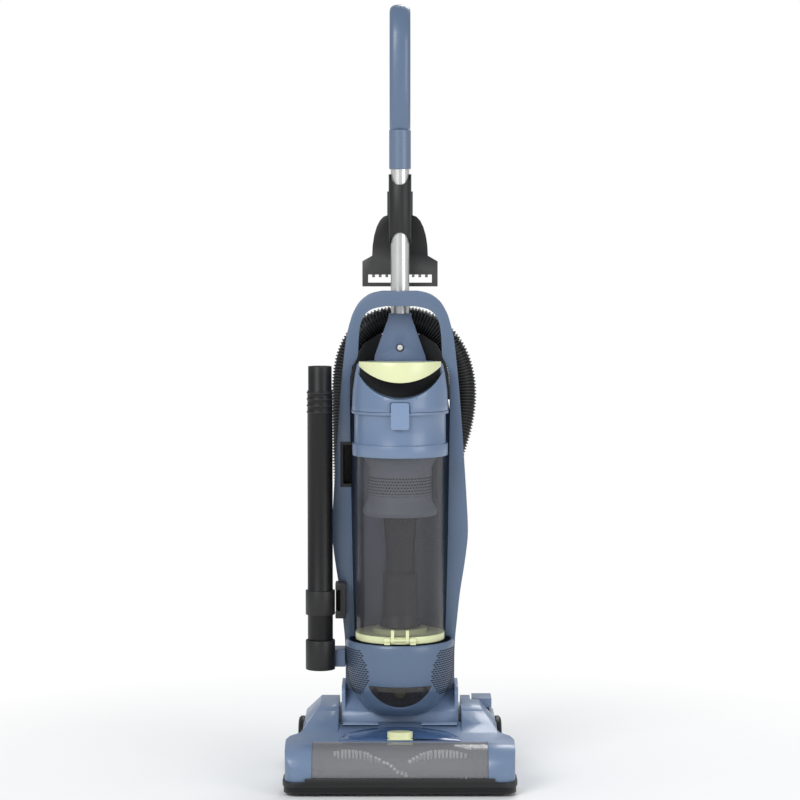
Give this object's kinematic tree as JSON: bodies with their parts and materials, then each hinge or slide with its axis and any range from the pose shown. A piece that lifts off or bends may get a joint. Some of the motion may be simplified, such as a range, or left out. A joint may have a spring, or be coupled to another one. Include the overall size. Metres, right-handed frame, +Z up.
{
  "type": "upright vacuum cleaner",
  "caption": "Household bagless upright vacuum cleaner with a clear dust cup, brush window, stretch hose, wand, turbine tool and loop grip, all on real joints.",
  "frame": {"origin": "on the floor, in the middle of the footprint", "axes": "+Z up, -Y to the front (the bumper), +X to the right when seen from the front"},
  "size_m": [0.32, 0.29, 1.0877],
  "materials": {
    "blue_shell": "moulded grey-blue plastic, satin gloss",
    "light_blue": "moulded lighter blue plastic",
    "accent_blue": "glossy deeper blue panel",
    "black_plastic": "satin black moulding",
    "hose_black": "ribbed flexible black vinyl",
    "belt_rubber": "flat rubber belt",
    "bristle": "white nylon tufts",
    "lime": "pale lime moulding",
    "white_plastic": "white moulding",
    "filter": "pleated filter paper",
    "steel": "plain steel",
    "tube_silver": "satin silver tube",
    "clear_smoke": "smoky clear moulded plastic",
    "dark_lens": "dark clear lens",
    "shroud_grey": "grey-blue moulding"
  },
  "bodies": {
    "floor_head": {"base_plate": "black_plastic", "front_bumper": "black_plastic", "hood": "blue_shell", "hood_panel": "accent_blue", "brush_window": "clear_smoke", "left_shoulder": "blue_shell", "right_shoulder": "blue_shell", "nozzle_duct": "black_plastic", "wheel_axles": "steel", "roller_axles": "steel", "brush_end_caps": "black_plastic", "drive_belt": "belt_rubber", "pedal_pin": "steel", "base_screws": "steel"},
    "wheel_left": {"wheel_left": "black_plastic"},
    "wheel_right": {"wheel_right": "black_plastic"},
    "roller_left": {"roller_left": "black_plastic"},
    "roller_right": {"roller_right": "black_plastic"},
    "brush": {"brush_roll": "black_plastic", "brush_bristles": "bristle"},
    "release_pedal": {"release_pedal": "blue_shell"},
    "window_button": {"window_button": "lime"},
    "upright": {"trunnion_yoke": "light_blue", "pivot_bushes": "white_plastic", "motor_can": "steel", "motor_bowl": "blue_shell", "exhaust_filter": "filter", "headlight_lens": "dark_lens", "headlight_board": "white_plastic", "body_frame": "blue_shell", "spine_shell": "blue_shell", "neck": "blue_shell", "power_bezel": "black_plastic", "handle_tube": "tube_silver", "handle_grip": "blue_shell", "hose": "hose_black", "hose_cuffs": "black_plastic", "hose_saddle": "black_plastic", "inlet_port": "black_plastic", "wand_socket": "blue_shell", "wand_clip": "black_plastic", "tool_clip": "black_plastic", "cord_inlet": "black_plastic", "lower_cord_hook": "black_plastic"},
    "motor_rotor": {"motor_rotor": "steel"},
    "power_button": {"power_button": "white_plastic"},
    "upper_hook": {"cord_hook": "black_plastic"},
    "cup": {"dust_cup": "clear_smoke", "cup_collar": "blue_shell", "cyclone_shroud": "shroud_grey", "cyclone_tube": "shroud_grey", "door_pin": "lime"},
    "cup_lid": {"cup_lid": "blue_shell"},
    "lid_latch": {"lid_latch": "light_blue"},
    "cup_handle": {"cup_handle": "lime"},
    "cup_door": {"cup_door": "lime"},
    "wand": {"wand": "black_plastic"},
    "turbo_tool": {"turbo_tool": "black_plastic"},
    "turbo_roller": {"turbo_roller": "bristle"}
  },
  "joints": [
    {"name": "wheel_left_spin", "type": "hinge", "parent": "floor_head", "child": "wheel_left", "pos_m": [-0.14, 0.113, 0.032], "axis": [1, 0, 0], "continuous": true},
    {"name": "wheel_right_spin", "type": "hinge", "parent": "floor_head", "child": "wheel_right", "pos_m": [0.14, 0.113, 0.032], "axis": [1, 0, 0], "continuous": true},
    {"name": "roller_left_spin", "type": "hinge", "parent": "floor_head", "child": "roller_left", "pos_m": [-0.06, -0.055, 0.009], "axis": [1, 0, 0], "continuous": true},
    {"name": "roller_right_spin", "type": "hinge", "parent": "floor_head", "child": "roller_right", "pos_m": [0.06, -0.055, 0.009], "axis": [1, 0, 0], "continuous": true},
    {"name": "brush_spin", "type": "hinge", "parent": "floor_head", "child": "brush", "pos_m": [0, -0.103, 0.03], "axis": [1, 0, 0], "continuous": true},
    {"name": "pedal_press", "type": "hinge", "parent": "floor_head", "child": "release_pedal", "pos_m": [0.11, 0.058, 0.087], "axis": [-1, 0, 0], "range_deg": [0, 6], "stiffness_Nm_per_rad": 1.2, "springref_deg": -8.59},
    {"name": "window_button_press", "type": "slide", "parent": "floor_head", "child": "window_button", "axis": [0, 0, -1], "range_m": [0, 0.003], "stiffness_N_per_m": 400, "springref_m": -0.002},
    {"name": "recline", "type": "hinge", "parent": "floor_head", "child": "upright", "pos_m": [0, 0.045, 0.072], "axis": [-1, 0, 0], "range_deg": [0, 70]},
    {"name": "motor_spin", "type": "hinge", "parent": "upright", "child": "motor_rotor", "pos_m": [0, 0.045, 0.072], "axis": [1, 0, 0], "continuous": true},
    {"name": "power_press", "type": "slide", "parent": "upright", "child": "power_button", "axis": [0, 1, 0], "range_m": [0, 0.001], "stiffness_N_per_m": 300, "springref_m": -0.001},
    {"name": "hook_turn", "type": "hinge", "parent": "upright", "child": "upper_hook", "pos_m": [0, 0.11, 0.545], "axis": [0, 1, 0], "range_deg": [0, 180]},
    {"name": "cup_out", "type": "slide", "parent": "upright", "child": "cup", "axis": [0, -1, 0], "range_m": [0, 0.19]},
    {"name": "lid_lift", "type": "slide", "parent": "cup", "child": "cup_lid", "axis": [0, 0, 1], "range_m": [0, 0.014]},
    {"name": "latch_flip", "type": "hinge", "parent": "cup", "child": "lid_latch", "pos_m": [0, -0.0626, 0.5], "axis": [1, 0, 0], "range_deg": [0, 10], "stiffness_Nm_per_rad": 0.3, "springref_deg": -5.73},
    {"name": "handle_press", "type": "slide", "parent": "cup_lid", "child": "cup_handle", "axis": [0, 0, -1], "range_m": [0, 0.005], "stiffness_N_per_m": 400, "springref_m": -0.003},
    {"name": "door_open", "type": "hinge", "parent": "cup", "child": "cup_door", "pos_m": [0, -0.06, 0.201], "axis": [-1, 0, 0], "range_deg": [0, 0.6]},
    {"name": "wand_lift", "type": "slide", "parent": "upright", "child": "wand", "axis": [0, 0, 1], "range_m": [0, 0.2]},
    {"name": "tool_off", "type": "slide", "parent": "upright", "child": "turbo_tool", "axis": [0, 0, 1], "range_m": [0, 0.08]},
    {"name": "turbo_spin", "type": "hinge", "parent": "turbo_tool", "child": "turbo_roller", "pos_m": [0, 0.127, 0.708], "axis": [1, 0, 0], "continuous": true}
  ],
  "couplings": [
    {"joint": "brush_spin", "follows": "motor_spin", "ratio": 0.5714}
  ]
}
